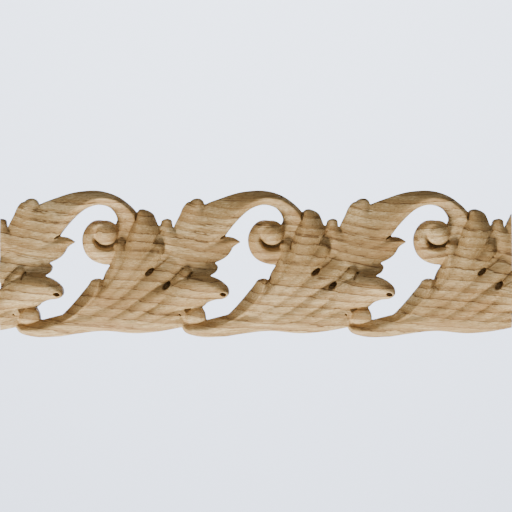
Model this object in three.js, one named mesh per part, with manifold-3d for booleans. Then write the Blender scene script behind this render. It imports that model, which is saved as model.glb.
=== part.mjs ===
// Acanthus leaf moulding: a running scroll of carved leaves, pierced between the scrolls.
// Millimetres, +Z up. X runs along the moulding, the flat back lies at Y = 0 and the carving faces -Y.
// The origin is the fixing point on the back, at mid-length, on the band of leaves under the openings.
import * as THREE from 'three';
import { mergeVertices } from 'three/addons/utils/BufferGeometryUtils.js';
import Module from 'manifold-3d';

const wasm = await Module();
wasm.setup();

// Driving dimensions
const repeatLength = 83;
const mouldingLength = 256;
const carvingDepth = 15.6;
const boardHeight = 166;

// How finely the carving is faceted
const stepsPerStation = 2;
const stepsAcross = 4;
const roundSides = 18;
const eyeSides = 9;
const domeRings = 4;
const facetTolerance = 0.1;

// The carving is drawn in shares: places and widths in hundredths of the repeat length, measured from
// mid-length and mid-height, and heights in hundredths of the carving depth, measured from the back.
const fixingHeight = -26.5;
const drawn = (share) => (share * repeatLength) / 100;
const raised = (share) => (share * carvingDepth) / 100;

// A leaf is a strip along its midrib. Each station gives the midrib's place along and up, the reach
// to the left and to the right of it, and the height of the midrib, left edge and right edge.
// A bulge of 1 is a straight slope from midrib to edge, and more is rounder. A tip or root is a
// rounded end of that length.

// The back leaf rises from under the front leaf and runs on as the stem that arches over the opening
const backLeaf = {
  bed: {
    bulge: 3,
    tip: 6,
    stations: [
      [-63.9, -16.3, 7.2, 6, 49, 49, 49],
      [-50.6, -3, 13.3, 8.4, 54, 49, 47],
      [-39.8, 7.8, 15.7, 9.6, 55, 47, 47],
      [-30.1, 16.3, 12, 7.2, 55, 46, 47],
    ],
  },
  deepBed: {
    bulge: 3,
    stations: [
      [-57.8, 0.6, 4.8, 4.6, 54, 50, 54],
      [-57.8, 13.9, 4.8, 5, 51, 47, 52],
      [-57.6, 22.6, 2.6, 3.4, 48, 42, 46],
    ],
  },
  archingStem: {
    bulge: 1.35,
    stations: [
      [-47, -7.8, 7.2, 7.2, 60, 57, 56],
      [-38.6, 3, 14.5, 8.4, 63, 55, 60],
      [-30.1, 13.3, 19.3, 8.4, 65, 49, 57],
      [-20.5, 22.9, 16.6, 5.4, 68, 46, 57],
      [-11.4, 31, 11.4, 3.9, 71, 45, 58],
      [-3, 35.8, 8.1, 2.7, 71, 45, 55],
      [5.4, 38.6, 5.1, 3.5, 71, 48, 50],
      [13.9, 38.1, 3.1, 5.4, 68, 45, 47],
      [20.5, 34.6, 2.4, 7.8, 65, 45, 46],
      [25.3, 29.5, 2.7, 11.4, 62, 48, 44],
      [28.3, 21.1, 4.8, 13.3, 58, 56, 47],
      [26.5, 7.8, 6, 9.6, 56, 50, 48],
    ],
  },
  shortLobe: {
    bulge: 1.6,
    tip: 1.8,
    stations: [
      [-45.8, 3, 6, 6, 55, 50, 50],
      [-51.2, 13.9, 6, 5.2, 59, 51, 54],
      [-53.3, 19.9, 4.8, 3.4, 56, 46, 50],
      [-53.6, 26.8, 3, 2.7, 50, 42, 42],
    ],
  },
  topLobe: {
    bulge: 1.6,
    tip: 1.8,
    stations: [
      [-32.5, 11.4, 10.8, 7.2, 57, 50, 52],
      [-34.6, 21.1, 16, 6, 60, 46, 56],
      [-36.1, 30.7, 9.3, 4.8, 58, 42, 52],
      [-34.9, 35.5, 5.4, 3.6, 56, 42, 46],
      [-34.1, 38.9, 3, 2.4, 51, 42, 44],
    ],
  },
  pointedLobe: {
    bulge: 1.5,
    stations: [
      [-42.2, 0.6, 8.4, 7.2, 56, 50, 48],
      [-30.1, 6.3, 8.4, 7.8, 64, 55, 50],
      [-21.7, 10.2, 5.7, 7.6, 63, 51, 47],
      [-15.1, 12.9, 3, 4.2, 58, 46, 45],
      [-9.5, 12.7, 0.3, 0.3, 47, 45, 45],
    ],
  },
  lowLobe: {
    bulge: 1.6,
    tip: 2.4,
    stations: [
      [-45.8, -1.8, 6, 7.2, 54, 48, 44],
      [-33.7, -2.7, 5.4, 6.6, 61, 53, 52],
      [-27.7, -2.7, 3.3, 4.8, 58, 47, 50],
      [-22.9, -2.4, 1.8, 2.4, 50, 42, 44],
    ],
  },
};

// The stem comes out at the lower left of the front leaf and winds into the eye of the scroll
const scrollRing = {
  bulge: 2,
  tip: 3,
  stations: [
    [22.5, 8.4, 8, 4.4, 58, 42, 50],
    [15.4, 7.3, 8, 3.6, 65, 42, 36],
    [9.3, 6.7, 7.6, 3, 69, 42, 36],
    [3.9, 9, 7.4, 2, 72, 42, 38],
    [1.2, 13.6, 6.2, 2.2, 74, 42, 50],
    [1.7, 18.3, 5.3, 2.4, 74, 42, 72],
    [3.8, 21.8, 4.1, 3, 77, 44, 76],
    [7.2, 23.2, 2.6, 3.6, 80, 50, 80],
    [11.4, 21.6, 2.4, 3.6, 80, 56, 80],
  ],
};
const scrollEye = { along: 9.4, up: 18.2, radius: 7.5, crest: 88, edge: 50 };
const scrollBed = { along: 6.6, up: 13, radius: 10.5, crest: 34, edge: 33 };

// The front leaf fans out from the pointed tail, one long pipe to each lobe
const frontLeaf = {
  bed: {
    bulge: 3,
    tip: 4.8,
    stations: [
      [-107.2, -35.5, 4.8, 4.8, 58, 55, 55],
      [-90.4, -23.5, 8.4, 9.6, 62, 58, 58],
      [-74.7, -10.2, 8.4, 16.8, 62, 58, 58],
      [-66.3, 0.6, 7.2, 12, 59, 55, 53],
      [-62.7, 7.8, 6, 4.8, 55, 51, 51],
    ],
  },
  lowBed: {
    bulge: 3,
    stations: [
      [-63.9, -33.1, 7.8, 4.8, 51, 45, 45],
      [-51.8, -33.1, 9, 4.8, 49, 45, 45],
      [-39.8, -33.1, 7.6, 4.4, 45, 43, 42],
      [-31.3, -31.9, 4.8, 3.4, 44, 41, 41],
    ],
  },
  tailBand: {
    bulge: 1.6,
    root: 1.8,
    stations: [
      [-144.3, -37.3, 2.2, 0.8, 51, 41, 45],
      [-141.6, -40.4, 3.9, 1.8, 58, 40, 45],
      [-136.1, -40.9, 6.3, 3.2, 64, 33, 47],
      [-128.9, -40.4, 6.2, 4.5, 67, 34, 47],
      [-120.5, -37.8, 5.6, 6.8, 68, 40, 46],
      [-108.4, -35.5, 6, 7.2, 69, 58, 46],
      [-91.6, -34.9, 6, 6.1, 71, 62, 46],
      [-73.5, -35.8, 5.4, 6.6, 71, 60, 46],
      [-60.2, -35.8, 4.8, 5.7, 68, 58, 45],
      [-48.2, -34.6, 4.8, 4.8, 60, 51, 45],
      [-42.2, -33.1, 3.6, 4.8, 51, 45, 42],
    ],
  },
  outerLobe: {
    bulge: 1.25,
    tip: 2.8,
    stations: [
      [-130.1, -39, 4.4, 3.6, 60, 38, 58],
      [-118.6, -36.2, 3.7, 2.2, 67, 38, 61],
      [-110.8, -32.6, 5.4, 1.9, 72, 38, 62],
      [-104.2, -27.3, 6.6, 1.7, 75, 38, 62],
      [-98.6, -21.4, 7.1, 1.6, 77, 38, 62],
      [-95.5, -15.6, 6.2, 1.9, 77, 40, 64],
      [-94.2, -9.4, 4.6, 2.2, 73, 44, 58],
    ],
  },
  smallLobe: {
    bulge: 1.7,
    tip: 1.8,
    stations: [
      [-114, -37, 2.4, 3.2, 56, 46, 50],
      [-100.9, -27.4, 2.2, 4, 70, 58, 67],
      [-89.9, -16.2, 5, 4, 76, 50, 71],
      [-85.4, -7.2, 5.5, 3.9, 79, 48, 71],
      [-83.4, 0.6, 3.4, 3.3, 81, 58, 73],
      [-82.3, 7.8, 3.8, 4, 76, 58, 64],
      [-82, 12.2, 3.5, 3.4, 71, 60, 60],
    ],
  },
  tallLobe: {
    bulge: 2.1,
    tip: 2.4,
    stations: [
      [-110.8, -34.9, 4.2, 4.8, 58, 48, 54],
      [-100, -26.5, 4.8, 5.4, 73, 58, 67],
      [-88, -15.7, 4.2, 5.4, 83, 64, 74],
      [-77.7, -3, 6, 6.6, 90, 67, 77],
      [-72.3, 9, 6.6, 8.4, 95, 67, 71],
      [-69.9, 18.7, 5.7, 11.3, 96, 65, 64],
      [-69, 25.9, 3.6, 9.2, 90, 64, 62],
      [-68, 32.5, 3.2, 5.2, 79, 62, 60],
    ],
  },
  sideLobe: {
    bulge: 1.8,
    tip: 2.1,
    stations: [
      [-103.6, -31.9, 4.8, 4.8, 62, 54, 54],
      [-89.2, -22.3, 4.8, 5.4, 79, 71, 71],
      [-77.1, -12, 5.4, 4.8, 85, 73, 71],
      [-66.9, -0.3, 4.8, 4.5, 85, 71, 67],
      [-60.2, 6.6, 4.5, 4.4, 77, 64, 60],
      [-58, 11.8, 2.9, 2.7, 71, 62, 58],
    ],
  },
  pipeToBackLeaf: {
    bulge: 1.8,
    stations: [
      [-106, -37.3, 3, 3, 60, 54, 54],
      [-94, -31.9, 4.8, 4.8, 74, 67, 67],
      [-83.1, -25.9, 4.4, 4.6, 79, 72, 71],
      [-73.5, -18.7, 4.6, 4.8, 82, 73, 71],
      [-63.9, -12, 5.3, 5.6, 79, 70, 67],
      [-54.2, -5.4, 5.4, 5.4, 69, 62, 58],
      [-44.6, 1.8, 7.2, 6, 56, 52, 52],
    ],
  },
  pipeToMiddleLobe: {
    bulge: 1.8,
    tip: 2.8,
    stations: [
      [-98.8, -38, 3, 2.4, 58, 52, 52],
      [-88, -35.3, 3.9, 3.6, 72, 64, 64],
      [-76.5, -30.7, 3.9, 4.2, 78, 71, 69],
      [-67.2, -25, 4.7, 4, 82, 73, 73],
      [-59, -20.5, 5, 4.2, 85, 73, 74],
      [-51.8, -16.3, 4.2, 4.8, 84, 71, 74],
      [-46.8, -11.3, 3.6, 5.2, 83, 69, 70],
      [-42.9, -7, 4, 5, 81, 66, 63],
      [-40.8, -2.9, 3.6, 3.2, 73, 62, 60],
    ],
  },
  broadLobe: {
    bulge: 2,
    tip: 3,
    stations: [
      [-83.1, -37.3, 3, 2.4, 60, 54, 52],
      [-71.1, -34.3, 3.6, 4, 73, 67, 64],
      [-61.1, -30.5, 3.6, 3.9, 82, 73, 69],
      [-53, -25, 5.8, 4.8, 88, 77, 68],
      [-45.8, -19.9, 7.6, 9, 95, 86, 60],
      [-38.6, -15.7, 7.2, 12, 99, 84, 55],
      [-30.7, -14.5, 7, 11.2, 100, 79, 52],
      [-23.5, -16, 6, 6.8, 95, 70, 55],
      [-16.3, -18.9, 3, 3, 82, 62, 62],
    ],
  },
  lowPipe: {
    bulge: 1.8,
    stations: [
      [-80.7, -38.6, 2.4, 1.8, 58, 52, 50],
      [-69.9, -37.7, 3.6, 3.6, 68, 60, 51],
      [-59, -34.8, 3.6, 4.8, 73, 65, 46],
      [-50.6, -31.3, 4.2, 5.4, 71, 64, 45],
      [-43.4, -27.7, 4.2, 6, 64, 58, 45],
    ],
  },
  curledEnd: {
    bulge: 2,
    root: 1.8,
    tip: 1.5,
    stations: [
      [-42.6, -34, 3, 2.6, 64, 56, 58],
      [-38.2, -32.6, 4.6, 3.9, 72, 58, 62],
      [-34.2, -31.2, 4.8, 4.4, 72, 56, 60],
      [-30.7, -30, 3.4, 4, 64, 50, 54],
    ],
  },
};

// Blind eyes sunk where two lobes part, and the hole in the curl of the broad lobe
const eyes = [
  { along: -64.5, up: -5.7, long: 3.7, short: 1.7, turn: 40, floor: 26 },
  { along: -54.2, up: -14, long: 3.5, short: 1.8, turn: 45, floor: 26 },
  { along: -20.2, up: -18.9, long: 2.2, short: 1.3, turn: -8, floor: 46 },
];

// Wedge nicks between the lobes: the open end, the point, the width at the open end and the floor
const nicks = [
  [-28.9, 36.6, -32.6, 32, 2.2, 26],
  [-49.8, 27.6, -50.9, 22.5, 2, 26],
  [-13.9, 18.3, -22.6, 13.6, 3, 12],
  [-22, 0.2, -27.4, -1.4, 2, 20],
  [-78.7, 13, -78.9, 6.3, 2, 40],
  [-56.9, 20.3, -62.7, 9, 2.2, 36],
  [-91.2, -8.4, -93, -16, 1.9, 35],
  [-54.8, 10.6, -57.2, 2.6, 1.6, 44],
  [-56.6, 4.2, -62, -3.4, 1.6, 42],
  [-70.9, 34.6, -72.2, 25, 5, 32],
  [-38.4, -5.4, -41.6, -11.6, 2.2, 40],
  [-43.6, -2.7, -53, -11.5, 1.8, 47],
  [-42.6, -37.2, -46.2, -30, 1.9, 38],
  [-44.8, -31.4, -50.3, -29.9, 1.4, 50],
];
const toolClearance = 2;
const weldDistance = 1e-4;

// Solids from three.js geometry
function solidOf(geometry) {
  geometry.deleteAttribute('normal');
  geometry.deleteAttribute('uv');
  const welded = mergeVertices(geometry, weldDistance);
  return new wasm.Manifold(new wasm.Mesh({
    numProp: 3,
    vertProperties: new Float32Array(welded.attributes.position.array),
    triVerts: new Uint32Array(welded.index.array),
  }));
}

function unionOf(solids) {
  return solids.reduce((joined, solid) => joined.add(solid));
}

// A smooth curve through the stations, value by value
function stationAt(stations, place) {
  const last = stations.length - 1;
  const span = Math.min(Math.floor(place), last - 1);
  const f = place - span;
  const before = stations[Math.max(span - 1, 0)];
  const after = stations[Math.min(span + 2, last)];
  return stations[span].map((b, i) => {
    const c = stations[span + 1][i];
    const into = (c - before[i]) / 2;
    const outOf = (after[i] - b) / 2;
    return (2 * b - 2 * c + into + outOf) * f ** 3
      + (3 * c - 3 * b - 2 * into - outOf) * f ** 2 + into * f + b;
  });
}

// The rounding of an end, from the distance to it: nearly closed at the end, full at its length
function roundEnd(distance, length) {
  const closed = 0.15;
  if (!length || distance >= length) {
    return 1;
  }
  return Math.max(closed, Math.sqrt(1 - (1 - distance / length) ** 2));
}

// One carved strip, as a box whose front is bent to the leaf and whose back stays flat
function stripSolid({ stations, bulge, tip = 0, root = 0 }) {
  const steps = (stations.length - 1) * stepsPerStation;
  const rows = [];
  for (let i = 0; i <= steps; i += 1) {
    rows.push(stationAt(stations, i / stepsPerStation));
  }
  const travelled = [0];
  for (let i = 1; i <= steps; i += 1) {
    const step = Math.hypot(rows[i][0] - rows[i - 1][0], rows[i][1] - rows[i - 1][1]);
    travelled.push(travelled[i - 1] + step);
  }
  const box = new THREE.BoxGeometry(1, 1, 1, steps, stepsAcross, 1);
  const position = box.attributes.position;
  for (let n = 0; n < position.count; n += 1) {
    const i = Math.round((position.getX(n) + 0.5) * steps);
    const side = position.getY(n) * 2;
    const [along, up, left, right, crest, leftEdge, rightEdge] = rows[i];
    const ahead = rows[Math.min(i + 1, steps)];
    const behind = rows[Math.max(i - 1, 0)];
    const heading = Math.atan2(ahead[1] - behind[1], ahead[0] - behind[0]);
    const closing = roundEnd(travelled[i], root) * roundEnd(travelled[steps] - travelled[i], tip);
    const reach = side * (side > 0 ? left : right) * closing;
    const edge = side > 0 ? leftEdge : rightEdge;
    const swell = (1 - Math.abs(side) ** bulge) * (1 + closing) / 2;
    const height = position.getZ(n) > 0 ? edge + (crest - edge) * swell : 0;
    position.setXYZ(
      n,
      drawn(along - Math.sin(heading) * reach),
      -raised(height),
      drawn(up + Math.cos(heading) * reach - fixingHeight),
    );
  }
  return solidOf(box);
}

// A round boss with a domed front
function domeSolid({ along, up, radius, crest, edge }) {
  const profile = [new THREE.Vector2(0, 0), new THREE.Vector2(drawn(radius), 0)];
  for (let ring = 0; ring <= domeRings; ring += 1) {
    const angle = (ring / domeRings) * (Math.PI / 2);
    const width = ring === domeRings ? 0 : drawn(radius) * Math.cos(angle);
    profile.push(new THREE.Vector2(width, raised(edge + (crest - edge) * Math.sin(angle))));
  }
  const lathe = new THREE.LatheGeometry(profile, roundSides);
  lathe.rotateX(Math.PI);
  lathe.translate(drawn(along), 0, drawn(up - fixingHeight));
  return solidOf(lathe);
}

// A tool's cut, straight in from the front to its floor
function cutSolid(outline, floor) {
  const depth = carvingDepth + toolClearance - raised(floor);
  const cut = new THREE.ExtrudeGeometry(outline, { depth, bevelEnabled: false, curveSegments: eyeSides });
  cut.rotateX(Math.PI / 2);
  cut.translate(0, -raised(floor), 0);
  return solidOf(cut);
}

function eyeCut({ along, up, long, short, turn, floor }) {
  const centre = [drawn(along), drawn(up - fixingHeight)];
  const radii = [drawn(long), drawn(short)];
  const outline = new THREE.Shape();
  outline.absellipse(...centre, ...radii, 0, 2 * Math.PI, false, THREE.MathUtils.degToRad(turn));
  return cutSolid(outline, floor);
}

function nickCut([openAlong, openUp, pointAlong, pointUp, width, floor]) {
  const open = new THREE.Vector2(drawn(openAlong), drawn(openUp - fixingHeight));
  const point = new THREE.Vector2(drawn(pointAlong), drawn(pointUp - fixingHeight));
  const across = point.clone().sub(open).normalize().rotateAround(new THREE.Vector2(), Math.PI / 2);
  across.multiplyScalar(drawn(width) / 2);
  const outline = new THREE.Shape([open.clone().sub(across), point, open.clone().add(across)]);
  return cutSolid(outline, floor);
}

// One repeat of the scroll, and the moulding as a run of repeats cut square at its length
function scrollSolid() {
  const strips = [...Object.values(backLeaf), scrollRing, ...Object.values(frontLeaf)];
  return unionOf([...strips.map(stripSolid), domeSolid(scrollBed), domeSolid(scrollEye)]);
}

// The board that the moulding is cut from, deeper and taller than the carving
function stockSolid() {
  const depth = carvingDepth + toolClearance;
  const board = new THREE.BoxGeometry(mouldingLength, depth, boardHeight);
  board.translate(0, -depth / 2, 0);
  return solidOf(board);
}

function mouldingSolid() {
  const scroll = scrollSolid();
  const cuts = unionOf([...eyes.map(eyeCut), ...nicks.map(nickCut)]);
  const toEitherSide = Math.ceil(mouldingLength / 2 / repeatLength);
  const scrolls = [];
  const allCuts = [];
  for (let copy = -toEitherSide; copy <= toEitherSide + 1; copy += 1) {
    scrolls.push(scroll.translate([copy * repeatLength, 0, 0]));
    allCuts.push(cuts.translate([copy * repeatLength, 0, 0]));
  }
  const carved = unionOf(scrolls).subtract(unionOf(allCuts)).intersect(stockSolid());
  return carved.asOriginal().simplify(facetTolerance);
}

function geometryOf(solid) {
  const mesh = solid.getMesh();
  const geometry = new THREE.BufferGeometry();
  geometry.setAttribute('position', new THREE.BufferAttribute(mesh.vertProperties, 3));
  geometry.setIndex(new THREE.BufferAttribute(mesh.triVerts, 1));
  return geometry;
}

const oak = new THREE.MeshStandardMaterial({ color: 0xc8a578, roughness: 0.7, metalness: 0 });
const moulding = new THREE.Mesh(geometryOf(mouldingSolid()), oak);
moulding.name = 'acanthus_moulding';

const part = new THREE.Group();
part.add(moulding);
export default part;
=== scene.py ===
import math

import bmesh
import bpy
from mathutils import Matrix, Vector


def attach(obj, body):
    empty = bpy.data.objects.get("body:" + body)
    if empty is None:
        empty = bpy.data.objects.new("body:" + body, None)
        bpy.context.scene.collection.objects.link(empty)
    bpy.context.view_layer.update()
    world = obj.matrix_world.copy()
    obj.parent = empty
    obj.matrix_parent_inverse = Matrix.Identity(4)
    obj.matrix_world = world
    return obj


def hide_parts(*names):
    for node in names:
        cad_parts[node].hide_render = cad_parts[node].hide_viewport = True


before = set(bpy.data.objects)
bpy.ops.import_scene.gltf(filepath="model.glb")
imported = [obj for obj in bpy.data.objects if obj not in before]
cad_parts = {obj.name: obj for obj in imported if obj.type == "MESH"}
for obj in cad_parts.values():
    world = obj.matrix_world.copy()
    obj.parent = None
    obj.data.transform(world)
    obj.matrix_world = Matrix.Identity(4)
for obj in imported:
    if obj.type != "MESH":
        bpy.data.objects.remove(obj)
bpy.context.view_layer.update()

print("frame loaded")


# Carving, drawn in hundredths of one repeat along and up, and hundredths of the carving depth outwards
moulding = {
    "repeat": 0.083,         # metres from one leaf to the next
    "repeats": 4,
    "length": 0.256,
    "depth": 0.0156,
    "fixingHeight": -26.5,   # where the mount lies, in hundredths of a repeat
    "stepsPerStation": 10,
    "stepsAcross": 20,
    "roundSides": 64,
    "voxel": 0.0003,
    "quickVoxel": 0.0006,
    "spare": 0.003,          # how far leaves run on behind the back, to be cut off there
    "endWidth": 0.08,        # share of its width that a rounded end keeps
    "endSwell": 0.5,         # and share of its swell
    "bossFoot": 1.1,         # how far a boss may spread behind its rim
    "clear": 120,            # height above every crest, where cutters start
    "eyeSides": 32,
    "eyeFloor": 0.75,        # radius of an eye at its floor and above the wood
    "eyeMouth": 1.1,
    "eyeLean": 0.3,          # how far an eye leans in towards its deep end
    "grooveTop": 2.3,        # a nick is a V: its width at the top and at its floor
    "grooveFoot": 0.25,
    "groovePoint": 0.05,     # how much of that is left at its point
    "grooveRise": 12,        # and how much shallower it is at its point
    "sandingStrength": 0.5,
    "sanding": 2,
    "creaseAngle": 50,       # degrees, past which an edge stays crisp
    "triangles": 190000,
}

# Each station: midrib along, midrib up, reach left, reach right, midrib height, left edge, right edge
backLeaf = {
    "bed": {
        "bulge": 3,
        "tip": 6,
        "stations": [
            [-63.9, -16.3, 7.2, 6, 49, 49, 49],
            [-50.6, -3, 13.3, 8.4, 54, 49, 47],
            [-39.8, 7.8, 15.7, 9.6, 55, 47, 47],
            [-30.1, 16.3, 12, 7.2, 55, 46, 47],
        ],
    },
    "deepBed": {
        "bulge": 3,
        "stations": [
            [-57.8, 0.6, 4.8, 4.6, 54, 50, 54],
            [-57.8, 13.9, 4.8, 5, 51, 47, 52],
            [-57.6, 22.6, 2.6, 3.4, 48, 42, 46],
        ],
    },
    "archingStem": {
        "bulge": 1.35,
        "stations": [
            [-47, -7.8, 7.2, 7.2, 60, 57, 56],
            [-38.6, 3, 14.5, 8.4, 63, 55, 60],
            [-30.1, 13.3, 19.3, 8.4, 65, 49, 57],
            [-20.5, 22.9, 16.6, 5.4, 68, 46, 57],
            [-11.4, 31, 11.4, 3.9, 71, 45, 58],
            [-3, 35.8, 8.1, 2.7, 71, 45, 55],
            [5.4, 38.6, 5.1, 3.5, 71, 48, 50],
            [13.9, 38.1, 3.1, 5.4, 68, 45, 47],
            [20.5, 34.6, 2.4, 7.8, 65, 45, 46],
            [25.3, 29.5, 2.7, 11.4, 62, 48, 44],
            [28.3, 21.1, 4.8, 13.3, 58, 56, 47],
            [26.5, 7.8, 6, 9.6, 56, 50, 48],
        ],
    },
    "shortLobe": {
        "bulge": 1.6,
        "tip": 1.8,
        "stations": [
            [-45.8, 3, 6, 6, 55, 50, 50],
            [-51.2, 13.9, 6, 5.2, 59, 51, 54],
            [-53.3, 19.9, 4.8, 3.4, 56, 46, 50],
            [-53.6, 26.8, 3, 2.7, 50, 42, 42],
        ],
    },
    "topLobe": {
        "bulge": 1.6,
        "tip": 1.8,
        "stations": [
            [-32.5, 11.4, 10.8, 7.2, 57, 50, 52],
            [-34.6, 21.1, 16, 6, 60, 46, 56],
            [-36.1, 30.7, 9.3, 4.8, 58, 42, 52],
            [-34.9, 35.5, 5.4, 3.6, 56, 42, 46],
            [-34.1, 38.9, 3, 2.4, 51, 42, 44],
        ],
    },
    "pointedLobe": {
        "bulge": 1.5,
        "stations": [
            [-42.2, 0.6, 8.4, 7.2, 56, 50, 48],
            [-30.1, 6.3, 8.4, 7.8, 64, 55, 50],
            [-21.7, 10.2, 5.7, 7.6, 63, 51, 47],
            [-15.1, 12.9, 3, 4.2, 58, 46, 45],
            [-9.5, 12.7, 0.3, 0.3, 47, 45, 45],
        ],
    },
    "lowLobe": {
        "bulge": 1.6,
        "tip": 2.4,
        "stations": [
            [-45.8, -1.8, 6, 7.2, 54, 48, 44],
            [-33.7, -2.7, 5.4, 6.6, 61, 53, 52],
            [-27.7, -2.7, 3.3, 4.8, 58, 47, 50],
            [-22.9, -2.4, 1.8, 2.4, 50, 42, 44],
        ],
    },
}

scrollRing = {
    "bulge": 2,
    "tip": 3,
    "stations": [
        [22.5, 8.4, 8, 4.4, 58, 42, 50],
        [15.4, 7.3, 8, 3.6, 65, 42, 36],
        [9.3, 6.7, 7.6, 3, 69, 42, 36],
        [3.9, 9, 7.4, 2, 72, 42, 38],
        [1.2, 13.6, 6.2, 2.2, 74, 42, 50],
        [1.7, 18.3, 5.3, 2.4, 74, 42, 72],
        [3.8, 21.8, 4.1, 3, 77, 44, 76],
        [7.2, 23.2, 2.6, 3.6, 80, 50, 80],
        [11.4, 21.6, 2.4, 3.6, 80, 56, 80],
    ],
}

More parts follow.
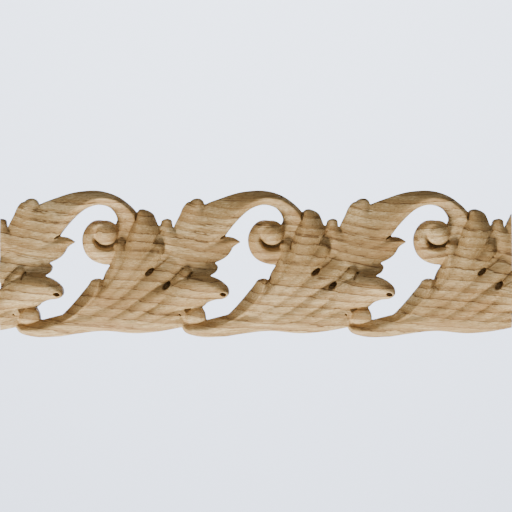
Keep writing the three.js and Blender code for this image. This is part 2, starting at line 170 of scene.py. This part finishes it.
frontLeaf = {
    "bed": {
        "bulge": 3,
        "tip": 4.8,
        "stations": [
            [-107.2, -35.5, 4.8, 4.8, 58, 55, 55],
            [-90.4, -23.5, 8.4, 9.6, 62, 58, 58],
            [-74.7, -10.2, 8.4, 16.8, 62, 58, 58],
            [-66.3, 0.6, 7.2, 12, 59, 55, 53],
            [-62.7, 7.8, 6, 4.8, 55, 51, 51],
        ],
    },
    "lowBed": {
        "bulge": 3,
        "stations": [
            [-63.9, -33.1, 7.8, 4.8, 51, 45, 45],
            [-51.8, -33.1, 9, 4.8, 49, 45, 45],
            [-39.8, -33.1, 7.6, 4.4, 45, 43, 42],
            [-31.3, -31.9, 4.8, 3.4, 44, 41, 41],
        ],
    },
    "tailBand": {
        "bulge": 1.6,
        "root": 1.8,
        "stations": [
            [-144.3, -37.3, 2.2, 0.8, 51, 41, 45],
            [-141.6, -40.4, 3.9, 1.8, 58, 40, 45],
            [-136.1, -40.9, 6.3, 3.2, 64, 33, 47],
            [-128.9, -40.4, 6.2, 4.5, 67, 34, 47],
            [-120.5, -37.8, 5.6, 6.8, 68, 40, 46],
            [-108.4, -35.5, 6, 7.2, 69, 58, 46],
            [-91.6, -34.9, 6, 6.1, 71, 62, 46],
            [-73.5, -35.8, 5.4, 6.6, 71, 60, 46],
            [-60.2, -35.8, 4.8, 5.7, 68, 58, 45],
            [-48.2, -34.6, 4.8, 4.8, 60, 51, 45],
            [-42.2, -33.1, 3.6, 4.8, 51, 45, 42],
        ],
    },
    "outerLobe": {
        "bulge": 1.25,
        "tip": 2.8,
        "stations": [
            [-130.1, -39, 4.4, 3.6, 60, 38, 58],
            [-118.6, -36.2, 3.7, 2.2, 67, 38, 61],
            [-110.8, -32.6, 5.4, 1.9, 72, 38, 62],
            [-104.2, -27.3, 6.6, 1.7, 75, 38, 62],
            [-98.6, -21.4, 7.1, 1.6, 77, 38, 62],
            [-95.5, -15.6, 6.2, 1.9, 77, 40, 64],
            [-94.2, -9.4, 4.6, 2.2, 73, 44, 58],
        ],
    },
    "smallLobe": {
        "bulge": 1.7,
        "tip": 1.8,
        "stations": [
            [-114, -37, 2.4, 3.2, 56, 46, 50],
            [-100.9, -27.4, 2.2, 4, 70, 58, 67],
            [-89.9, -16.2, 5, 4, 76, 50, 71],
            [-85.4, -7.2, 5.5, 3.9, 79, 48, 71],
            [-83.4, 0.6, 3.4, 3.3, 81, 58, 73],
            [-82.3, 7.8, 3.8, 4, 76, 58, 64],
            [-82, 12.2, 3.5, 3.4, 71, 60, 60],
        ],
    },
    "tallLobe": {
        "bulge": 2.1,
        "tip": 2.4,
        "stations": [
            [-110.8, -34.9, 4.2, 4.8, 58, 48, 54],
            [-100, -26.5, 4.8, 5.4, 73, 58, 67],
            [-88, -15.7, 4.2, 5.4, 83, 64, 74],
            [-77.7, -3, 6, 6.6, 90, 67, 77],
            [-72.3, 9, 6.6, 8.4, 95, 67, 71],
            [-69.9, 18.7, 5.7, 11.3, 96, 65, 64],
            [-69, 25.9, 3.6, 9.2, 90, 64, 62],
            [-68, 32.5, 3.2, 5.2, 79, 62, 60],
        ],
    },
    "sideLobe": {
        "bulge": 1.8,
        "tip": 2.1,
        "stations": [
            [-103.6, -31.9, 4.8, 4.8, 62, 54, 54],
            [-89.2, -22.3, 4.8, 5.4, 79, 71, 71],
            [-77.1, -12, 5.4, 4.8, 85, 73, 71],
            [-66.9, -0.3, 4.8, 4.5, 85, 71, 67],
            [-60.2, 6.6, 4.5, 4.4, 77, 64, 60],
            [-58, 11.8, 2.9, 2.7, 71, 62, 58],
        ],
    },
    "pipeToBackLeaf": {
        "bulge": 1.8,
        "stations": [
            [-106, -37.3, 3, 3, 60, 54, 54],
            [-94, -31.9, 4.8, 4.8, 74, 67, 67],
            [-83.1, -25.9, 4.4, 4.6, 79, 72, 71],
            [-73.5, -18.7, 4.6, 4.8, 82, 73, 71],
            [-63.9, -12, 5.3, 5.6, 79, 70, 67],
            [-54.2, -5.4, 5.4, 5.4, 69, 62, 58],
            [-44.6, 1.8, 7.2, 6, 56, 52, 52],
        ],
    },
    "pipeToMiddleLobe": {
        "bulge": 1.8,
        "tip": 2.8,
        "stations": [
            [-98.8, -38, 3, 2.4, 58, 52, 52],
            [-88, -35.3, 3.9, 3.6, 72, 64, 64],
            [-76.5, -30.7, 3.9, 4.2, 78, 71, 69],
            [-67.2, -25, 4.7, 4, 82, 73, 73],
            [-59, -20.5, 5, 4.2, 85, 73, 74],
            [-51.8, -16.3, 4.2, 4.8, 84, 71, 74],
            [-46.8, -11.3, 3.6, 5.2, 83, 69, 70],
            [-42.9, -7, 4, 5, 81, 66, 63],
            [-40.8, -2.9, 3.6, 3.2, 73, 62, 60],
        ],
    },
    "broadLobe": {
        "bulge": 2,
        "tip": 3,
        "stations": [
            [-83.1, -37.3, 3, 2.4, 60, 54, 52],
            [-71.1, -34.3, 3.6, 4, 73, 67, 64],
            [-61.1, -30.5, 3.6, 3.9, 82, 73, 69],
            [-53, -25, 5.8, 4.8, 88, 77, 68],
            [-45.8, -19.9, 7.6, 9, 95, 86, 60],
            [-38.6, -15.7, 7.2, 12, 99, 84, 55],
            [-30.7, -14.5, 7, 11.2, 100, 79, 52],
            [-23.5, -16, 6, 6.8, 95, 70, 55],
            [-16.3, -18.9, 3, 3, 82, 62, 62],
        ],
    },
    "lowPipe": {
        "bulge": 1.8,
        "stations": [
            [-80.7, -38.6, 2.4, 1.8, 58, 52, 50],
            [-69.9, -37.7, 3.6, 3.6, 68, 60, 51],
            [-59, -34.8, 3.6, 4.8, 73, 65, 46],
            [-50.6, -31.3, 4.2, 5.4, 71, 64, 45],
            [-43.4, -27.7, 4.2, 6, 64, 58, 45],
        ],
    },
    "curledEnd": {
        "bulge": 2,
        "root": 1.8,
        "tip": 1.5,
        "stations": [
            [-42.6, -34, 3, 2.6, 64, 56, 58],
            [-38.2, -32.6, 4.6, 3.9, 72, 58, 62],
            [-34.2, -31.2, 4.8, 4.4, 72, 56, 60],
            [-30.7, -30, 3.4, 4, 64, 50, 54],
        ],
    },
}
bosses = [
    {"along": 6.6, "up": 13, "radius": 10.5, "crest": 34, "edge": 33},   # bed under the scroll
    {"along": 9.4, "up": 18.2, "radius": 7.5, "crest": 88, "edge": 50},  # eye of the scroll
]

# Blind eyes where lobes part, and the hole in the curl of the broad lobe
eyes = [
    {"along": -64.5, "up": -5.7, "long": 3.7, "short": 1.7, "turn": 40, "floor": 26},
    {"along": -54.2, "up": -14, "long": 3.5, "short": 1.8, "turn": 45, "floor": 26},
    {"along": -20.2, "up": -18.9, "long": 2.2, "short": 1.3, "turn": -8, "floor": 46},
]

# Wedge nicks between lobes: open end, point, width at the open end, floor
nicks = [
    (-28.9, 36.6, -32.6, 32, 2.2, 26),
    (-49.8, 27.6, -50.9, 22.5, 2, 26),
    (-13.9, 18.3, -22.6, 13.6, 3, 12),
    (-22, 0.2, -27.4, -1.4, 2, 20),
    (-78.7, 13, -78.9, 6.3, 2, 40),
    (-56.9, 20.3, -62.7, 9, 2.2, 36),
    (-91.2, -8.4, -93, -16, 1.9, 35),
    (-54.8, 10.6, -57.2, 2.6, 1.6, 44),
    (-56.6, 4.2, -62, -3.4, 1.6, 42),
    (-70.9, 34.6, -72.2, 25, 5, 32),
    (-38.4, -5.4, -41.6, -11.6, 2.2, 40),
    (-43.6, -2.7, -53, -11.5, 1.8, 47),
    (-42.6, -37.2, -46.2, -30, 1.9, 38),
    (-44.8, -31.4, -50.3, -29.9, 1.4, 50),
]


def drawn(share):
    return share * moulding["repeat"] / 100


def raised(share):
    return share * moulding["depth"] / 100


def carvedPoint(along, up, height):
    return Vector((drawn(along), -raised(height), drawn(up - moulding["fixingHeight"])))


def stationAt(stations, place):
    # A smooth curve through the stations
    last = len(stations) - 1
    span = min(int(place), last - 1)
    f = place - span
    before = stations[max(span - 1, 0)]
    here = stations[span]
    ahead = stations[span + 1]
    after = stations[min(span + 2, last)]
    row = []
    for a, b, c, d in zip(before, here, ahead, after):
        into = (c - a) / 2
        outOf = (d - b) / 2
        cubic = 2 * b - 2 * c + into + outOf
        square = 3 * c - 3 * b - 2 * into - outOf
        row.append(cubic * f ** 3 + square * f ** 2 + into * f + b)
    return row


def roundEnd(distance, length):
    if not length or distance >= length:
        return 1
    return max(moulding["endWidth"], math.sqrt(1 - (1 - distance / length) ** 2))


def strip(leaf):
    bm = bmesh.new()
    stations = leaf["stations"]
    steps = (len(stations) - 1) * moulding["stepsPerStation"]
    rows = [stationAt(stations, i / moulding["stepsPerStation"]) for i in range(steps + 1)]
    travelled = [0]
    for a, b in zip(rows, rows[1:]):
        travelled.append(travelled[-1] + math.hypot(b[0] - a[0], b[1] - a[1]))
    grid = bmesh.ops.create_grid(bm, x_segments=steps, y_segments=moulding["stepsAcross"], size=1)
    verts = grid["verts"]
    for vert in verts:
        i = round((vert.co.x + 1) / 2 * steps)
        side = vert.co.y
        along, up, left, right, crest, leftEdge, rightEdge = rows[i]
        ahead = rows[min(i + 1, steps)]
        behind = rows[max(i - 1, 0)]
        heading = math.atan2(ahead[1] - behind[1], ahead[0] - behind[0])
        closing = roundEnd(travelled[i], leaf.get("root", 0))
        closing *= roundEnd(travelled[-1] - travelled[i], leaf.get("tip", 0))
        reach = side * (left if side > 0 else right) * closing
        edge = leftEdge if side > 0 else rightEdge
        kept = moulding["endSwell"]
        swell = (1 - abs(side) ** leaf["bulge"]) * (kept + (1 - kept) * closing)
        vert.co = carvedPoint(
            along - math.sin(heading) * reach,
            up + math.cos(heading) * reach,
            edge + (crest - edge) * swell,
        )
    walls = bmesh.ops.extrude_face_region(bm, geom=bm.faces[:])
    for part in walls["geom"]:
        if isinstance(part, bmesh.types.BMVert):
            part.co.y = moulding["spare"]
    return bm


def dome(boss):
    bm = bmesh.new()
    sides = moulding["roundSides"]
    ball = bmesh.ops.create_uvsphere(bm, u_segments=sides, v_segments=sides // 2, radius=1)
    for vert in ball["verts"]:
        wide = math.hypot(vert.co.x, vert.co.z)
        height = boss["edge"] + (boss["crest"] - boss["edge"]) * -vert.co.y
        grow = 1
        if vert.co.y > 0.01:    # the half behind the rim goes straight back
            height = -moulding["spare"] / moulding["depth"] * 100
            grow = min(1 / max(wide, 0.01), moulding["bossFoot"])
        vert.co = carvedPoint(
            boss["along"] + vert.co.x * boss["radius"] * grow,
            boss["up"] + vert.co.z * boss["radius"] * grow,
            height,
        )
    return bm


def eyeCutter(eye):
    bm = bmesh.new()
    sides = moulding["eyeSides"]
    floor = moulding["eyeFloor"]
    mouth = moulding["eyeMouth"]
    hole = bmesh.ops.create_cone(bm, cap_ends=True, segments=sides, radius1=floor, radius2=mouth, depth=1)
    turn = math.radians(eye["turn"])
    for vert in hole["verts"]:
        deep = 0.5 - vert.co.z
        along = (vert.co.x + deep * moulding["eyeLean"]) * eye["long"]
        up = vert.co.y * eye["short"]
        height = eye["floor"] + (vert.co.z + 0.5) * (moulding["clear"] - eye["floor"])
        vert.co = carvedPoint(
            eye["along"] + along * math.cos(turn) - up * math.sin(turn),
            eye["up"] + along * math.sin(turn) + up * math.cos(turn),
            height,
        )
    return bm


def nickCutter(nick):
    bm = bmesh.new()
    openAlong, openUp, pointAlong, pointUp, width, floor = nick
    openEnd = Vector((openAlong, openUp))
    point = Vector((pointAlong, pointUp))
    across = (point - openEnd).orthogonal().normalized() * width / 2
    wedge = bmesh.ops.create_cube(bm, size=2)
    for vert in wedge["verts"]:
        atPoint = vert.co.x > 0
        deep = vert.co.z < 0
        wide = moulding["grooveFoot"] if deep else moulding["grooveTop"]
        narrowed = moulding["groovePoint"] if atPoint else 1
        spot = (point if atPoint else openEnd) + across * vert.co.y * wide * narrowed
        height = floor + (moulding["grooveRise"] if atPoint else 0) if deep else moulding["clear"]
        vert.co = carvedPoint(spot.x, spot.y, height)
    return bm


def meshOf(name, bm):
    bmesh.ops.recalc_face_normals(bm, faces=bm.faces)
    mesh = bpy.data.meshes.new(name)
    bm.to_mesh(mesh)
    bm.free()
    return mesh


def meshObject(name, bm):
    mesh = meshOf(name, bm)
    piece = bpy.data.objects.new(name, mesh)
    bpy.context.scene.collection.objects.link(piece)
    return piece


def settle(piece):
    # The modifiers so far become the mesh
    graph = bpy.context.evaluated_depsgraph_get()
    settled = bpy.data.meshes.new_from_object(piece.evaluated_get(graph))
    piece.modifiers.clear()
    old = piece.data
    piece.data = settled
    bpy.data.meshes.remove(old)


def remesh(piece):
    skin = piece.modifiers.new("skin", "REMESH")
    skin.mode = "VOXEL"
    skin.voxel_size = moulding["voxel"]


def cutBy(piece, tool, operation):
    cut = piece.modifiers.new("cut", "BOOLEAN")
    cut.operation = operation
    cut.solver = "MANIFOLD"
    cut.object = tool
    settle(piece)
    bpy.data.objects.remove(tool)


def runOn(name, shapes):
    # Every shape of one repeat, then the repeats side by side
    bm = bmesh.new()
    for shape in shapes:
        mesh = meshOf(name, shape)
        bm.from_mesh(mesh)
        bpy.data.meshes.remove(mesh)
    bmesh.ops.translate(bm, verts=bm.verts, vec=(-moulding["repeat"], 0, 0))
    piece = meshObject(name, bm)
    repeats = piece.modifiers.new("repeats", "ARRAY")
    repeats.count = moulding["repeats"]
    repeats.use_relative_offset = False
    repeats.use_constant_offset = True
    repeats.constant_offset_displace = (moulding["repeat"], 0, 0)
    return piece


def carveMoulding():
    leaves = [*backLeaf.values(), scrollRing, *frontLeaf.values()]
    shapes = [strip(leaf) for leaf in leaves] + [dome(boss) for boss in bosses]
    piece = runOn("carvedMoulding", shapes)
    remesh(piece)
    settle(piece)
    print("leaves joined", len(piece.data.polygons))

    # The cutters overlap, so they are joined before the cut
    cutters = [eyeCutter(eye) for eye in eyes] + [nickCutter(nick) for nick in nicks]
    tool = runOn("cutters", cutters)
    remesh(tool)
    settle(tool)
    cutBy(piece, tool, "DIFFERENCE")
    remesh(piece)
    sanding = piece.modifiers.new("sanding", "SMOOTH")
    sanding.factor = moulding["sandingStrength"]
    sanding.iterations = moulding["sanding"]
    settle(piece)
    print("eyes and nicks cut", len(piece.data.polygons))

    bm = bmesh.new()
    stock = bmesh.ops.create_cube(bm, size=1)
    for vert in stock["verts"]:
        vert.co.x *= moulding["length"]
        vert.co.y = 0 if vert.co.y > 0 else -2 * moulding["depth"]
        vert.co.z *= 2 * moulding["repeat"]
    cutBy(piece, meshObject("stock", bm), "INTERSECT")
    print("ends cut square", len(piece.data.polygons))

    triangles = sum(len(face.vertices) - 2 for face in piece.data.polygons)
    thin = piece.modifiers.new("thin", "DECIMATE")
    thin.ratio = min(1, moulding["triangles"] / triangles)
    settle(piece)
    bm = bmesh.new()
    bm.from_mesh(piece.data)
    bmesh.ops.triangulate(bm, faces=bm.faces)
    crisp = math.radians(moulding["creaseAngle"])
    for edge in bm.edges:
        edge.smooth = len(edge.link_faces) == 2 and edge.calc_face_angle() < crisp
    for face in bm.faces:
        face.smooth = True
    bm.to_mesh(piece.data)
    bm.free()
    print("moulding carved", len(piece.data.polygons))
    return piece


# Shader graph helpers
class Wire:
    def __init__(self, finish, socket):
        self.finish = finish
        self.socket = socket

    def maths(self, operation, *others, swap=False):
        values = [self, *others]
        if swap:
            values.reverse()
        return self.finish.node("ShaderNodeMath", {"operation": operation}, dict(enumerate(values)))

    def __add__(self, other):
        return self.maths("ADD", other)

    __radd__ = __add__

    def __mul__(self, other):
        return self.maths("MULTIPLY", other)

    __rmul__ = __mul__

    def __sub__(self, other):
        return self.maths("SUBTRACT", other)

    def __rsub__(self, other):
        return self.maths("SUBTRACT", other, swap=True)

    def __truediv__(self, other):
        return self.maths("DIVIDE", other)

    def __rtruediv__(self, other):
        return self.maths("DIVIDE", other, swap=True)


class Finish:
    def __init__(self, name):
        self.material = bpy.data.materials.new(name)
        self.material.use_nodes = True
        self.tree = self.material.node_tree
        self.tree.nodes.clear()

    def node(self, kind, settings=None, sockets=None, output=0):
        made = self.tree.nodes.new(kind)
        for key, value in (settings or {}).items():
            if key == "stops":
                self.rampStops(made.color_ramp, value)
            else:
                setattr(made, key, value)
        for key, value in (sockets or {}).items():
            if isinstance(value, Wire):
                self.tree.links.new(value.socket, made.inputs[key])
            else:
                made.inputs[key].default_value = value
        return Wire(self, made.outputs[output]) if made.outputs else made

    def rampStops(self, ramp, stops):
        while len(ramp.elements) < len(stops):
            ramp.elements.new(0.5)
        for element, (place, colour) in zip(ramp.elements, stops):
            element.position = place
            element.color = (*colour, 1) if len(colour) == 3 else colour


def linear(red, green, blue):
    # A screen colour, each part from 0 to 255, on the shader's own scale
    shares = [part / 255 for part in (red, green, blue)]
    return tuple(c / 12.92 if c <= 0.04045 else ((c + 0.055) / 1.055) ** 2.4 for c in shares)


oak = {
    "ringSpacing": 4.7,    # mm between the dark lines, measured up the face
    "ringLean": 0.2,       # how far the rings drop for each mm towards the viewer
    "ringFall": 0.08,      # how far the lines drop for each mm to the right
    "wave": 2.2,           # mm that the grain swings within one repeat
    "waveTurn": 2.95,      # radians, where the swing starts
    "waveFrom": -5.0,      # mm up the face between which the swing grows to its whole
    "waveTo": 30.0,
    "wander": 7.0,         # mm of slow drift
    "ripple": 2.6,         # mm of small unevenness
    "uneven": 3.0,         # mm between a narrow year and a wide one
    "yearScale": 0.13,     # how fast the years change width up the face
    "lineWidth": 0.17,     # share of a ring
    "darkest": 0.79,       # how much of the line's colour shows at most
    "poreScale": (0.5, 2.1),       # noise to the mm, along the grain and across it
    "fibreScale": (0.09, 1.5),
    "fineFibreScale": (0.28, 4.2),
    "roughness": 0.6,
    "relief": 0.00012,     # metres
    "pale": linear(240, 213, 160),
    "middle": linear(174, 141, 90),
    "deep": linear(142, 106, 60),
    "line": linear(66, 42, 20),
}


def oakFinish():
    finish = Finish("carvedOak")
    node = finish.node
    place = node("ShaderNodeTexCoord", output=3)
    inMillimetres = node("ShaderNodeVectorMath", {"operation": "SCALE"}, {0: place, "Scale": 1000.0})
    x = node("ShaderNodeSeparateXYZ", None, {0: inMillimetres})
    y = Wire(finish, x.socket.node.outputs[1])
    z = Wire(finish, x.socket.node.outputs[2])

    def stretched(alongScale, acrossScale):
        scale = (alongScale, acrossScale, acrossScale)
        return node("ShaderNodeVectorMath", {"operation": "MULTIPLY"}, {0: inMillimetres, 1: scale})

    def noise(vector, detail=2.0, roughness=0.5):
        sockets = {"Vector": vector, "Scale": 1.0, "Detail": detail, "Roughness": roughness}
        return node("ShaderNodeTexNoise", None, sockets)

    def smooth(value, low, high, start=0.0, end=1.0):
        sockets = {"Value": value, "From Min": low, "From Max": high, "To Min": start, "To Max": end}
        return node("ShaderNodeMapRange", {"interpolation_type": "SMOOTHSTEP"}, sockets)

    # Growth rings: near level planes, seen as dark lines of large pores
    wander = noise(stretched(0.012, 0.04)) - 0.5
    ripple = noise(stretched(0.11, 0.22)) - 0.5
    turn = 2 * math.pi / (moulding["repeat"] * 1000)
    wave = (x * turn + oak["waveTurn"]).maths("SINE") * smooth(z, oak["waveFrom"], oak["waveTo"])
    height = z - y * oak["ringLean"] + x * oak["ringFall"] + wave * oak["wave"]
    upTheYears = {"W": height * oak["yearScale"], "Detail": 1.0}
    uneven = node("ShaderNodeTexNoise", {"noise_dimensions": "1D"}, upTheYears) - 0.5
    drift = wander * oak["wander"] + ripple * oak["ripple"] + uneven * oak["uneven"]
    rings = (height + drift) / oak["ringSpacing"]
    year = rings.maths("FLOOR")
    within = rings - year
    luck = node("ShaderNodeTexWhiteNoise", {"noise_dimensions": "1D"}, {"W": year})
    line = smooth(within, 0.0, 0.06) * smooth(within, oak["lineWidth"] * 0.35, oak["lineWidth"], 1.0, 0.0)
    earlyWood = smooth(within, 0.0, 0.06) * smooth(within, 0.1, 0.65, 1.0, 0.0)
    strength = smooth(noise(stretched(0.05, 0.16), 2.0), 0.3, 0.55, 0.7, 1.0)
    broken = smooth(noise(stretched(0.35, 1.4), 3.0, 0.65), 0.26, 0.5, 0.55, 1.0) * strength

    # Fibres and the short dark strokes of cut pores
    fibre = noise(stretched(*oak["fibreScale"]), 3.0, 0.6)
    fineFibre = noise(stretched(*oak["fineFibreScale"]), 2.0, 0.6)
    pores = smooth(noise(stretched(*oak["poreScale"]), 2.5, 0.6), 0.54, 0.7)
    patches = noise(stretched(0.02, 0.05), 2.0)
    warmth = noise(stretched(0.025, 0.06), 2.0)

    shade = fibre * 0.55 + fineFibre * 0.5 + patches * 0.5 - earlyWood * 0.16 - 0.22
    stops = [(0.22, oak["deep"]), (0.52, oak["middle"]), (0.84, oak["pale"])]
    tone = node("ShaderNodeValToRGB", {"stops": stops}, {0: shade})
    rosy = node("ShaderNodeMix", {"data_type": "RGBA", "blend_type": "MULTIPLY"}, {
        0: smooth(warmth, 0.45, 0.65, 0.0, 0.4),
        6: tone,
        7: (1.0, 0.9, 0.84, 1.0),
    }, output=2)
    darkLines = line * broken * (luck * 0.35 + 0.6)
    darkPores = pores * (earlyWood * 0.3 + 0.42)
    darkness = (darkLines + darkPores).maths("MINIMUM", 1.0)
    colour = node("ShaderNodeMix", {"data_type": "RGBA"}, {
        0: darkness * oak["darkest"],
        6: rosy,
        7: (*oak["line"], 1.0),
    }, output=2)
    relief = fibre * 0.3 + fineFibre * 0.4 - line * 0.8 - pores * 0.9
    bump = node("ShaderNodeBump", None, {"Strength": 0.6, "Distance": oak["relief"], "Height": relief})
    surface = node("ShaderNodeBsdfPrincipled", None, {
        "Base Color": colour,
        "Roughness": oak["roughness"] + darkness * 0.25,
        "Normal": bump,
        "Specular IOR Level": 0.3,
    })
    node("ShaderNodeOutputMaterial", None, {"Surface": surface})
    return finish.material


piece = carveMoulding()
piece.data.materials.clear()
piece.data.materials.append(oakFinish())
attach(piece, "root")
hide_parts("acanthus_moulding")
print("oak laid on")


# Studio
studio = {
    "target": (0.0, -0.008, 0.0255),   # the photo's centre lies above mid-height of the leaves
    "distance": 1.4,
    "frameWidth": 0.256,
    "sensor": 36.0,
    "floorHeight": -1.5,
    "backdropAway": 2.6,
    "backdropTop": 5,
    "halfWidth": 6,
    "floorFront": -5,
    "backdrop": linear(219, 228, 246),
    "lightAim": (0, 0, 0.02),
    "key": {"place": (-0.45, -0.58, -0.98), "size": 0.65, "power": 40.0, "colour": (1.0, 0.97, 0.92)},
    "fill": {"place": (0.3, -1.4, 0.5), "size": 1.6, "power": 7.4, "colour": (0.97, 0.98, 1.0)},
    "wash": {"place": (0, 0.9, 0.8), "size": 1.6, "power": 150.0, "colour": (1, 1, 1)},
    "washAim": -0.5,
    "air": (0.9, 0.94, 1.0, 1),
    "airStrength": 0.17,
}


def plainFinish(name, colour):
    finish = Finish(name)
    surface = finish.node("ShaderNodeBsdfPrincipled", None, {
        "Base Color": (*colour, 1),
        "Roughness": 0.9,
        "Specular IOR Level": 0.1,
    })
    finish.node("ShaderNodeOutputMaterial", None, {"Surface": surface})
    return finish.material


def stageBoard(name, corners, material):
    bm = bmesh.new()
    bm.faces.new([bm.verts.new(corner) for corner in corners])
    board = meshObject(name, bm)
    board.data.materials.append(material)


def areaLight(name, light, aim):
    data = bpy.data.lights.new(name, "AREA")
    data.shape = "DISK"
    data.size = light["size"]
    data.energy = light["power"]
    data.color = light["colour"]
    lamp = bpy.data.objects.new(name, data)
    lamp.location = light["place"]
    facing = Vector(aim) - Vector(light["place"])
    lamp.rotation_euler = facing.to_track_quat("-Z", "Y").to_euler()
    bpy.context.scene.collection.objects.link(lamp)


def setStudio():
    target = Vector(studio["target"])
    data = bpy.data.cameras.new("camera")
    data.sensor_width = studio["sensor"]
    data.lens = studio["sensor"] * studio["distance"] / studio["frameWidth"]
    data.clip_end = 20
    camera = bpy.data.objects.new("camera", data)
    camera.location = target + Vector((0, -studio["distance"], 0))
    camera.rotation_euler = (math.pi / 2, 0, 0)
    bpy.context.scene.collection.objects.link(camera)
    bpy.context.scene.camera = camera

    pale = plainFinish("paleGround", studio["backdrop"])
    side = studio["halfWidth"]
    away = studio["backdropAway"]
    low = studio["floorHeight"]
    top = studio["backdropTop"]
    front = studio["floorFront"]
    upright = [(-side, away, low), (side, away, low), (side, away, top), (-side, away, top)]
    ground = [(-side, front, low), (side, front, low), (side, away, low), (-side, away, low)]
    stageBoard("backdrop", upright, pale)
    stageBoard("floor", ground, pale)

    areaLight("key", studio["key"], studio["lightAim"])
    areaLight("fill", studio["fill"], studio["lightAim"])
    areaLight("backdropLight", studio["wash"], (0, away, studio["washAim"]))
    world = bpy.data.worlds.new("studioAir")
    world.use_nodes = True
    air = world.node_tree.nodes["Background"].inputs
    air["Color"].default_value = studio["air"]
    air["Strength"].default_value = studio["airStrength"]
    bpy.context.scene.world = world


setStudio()
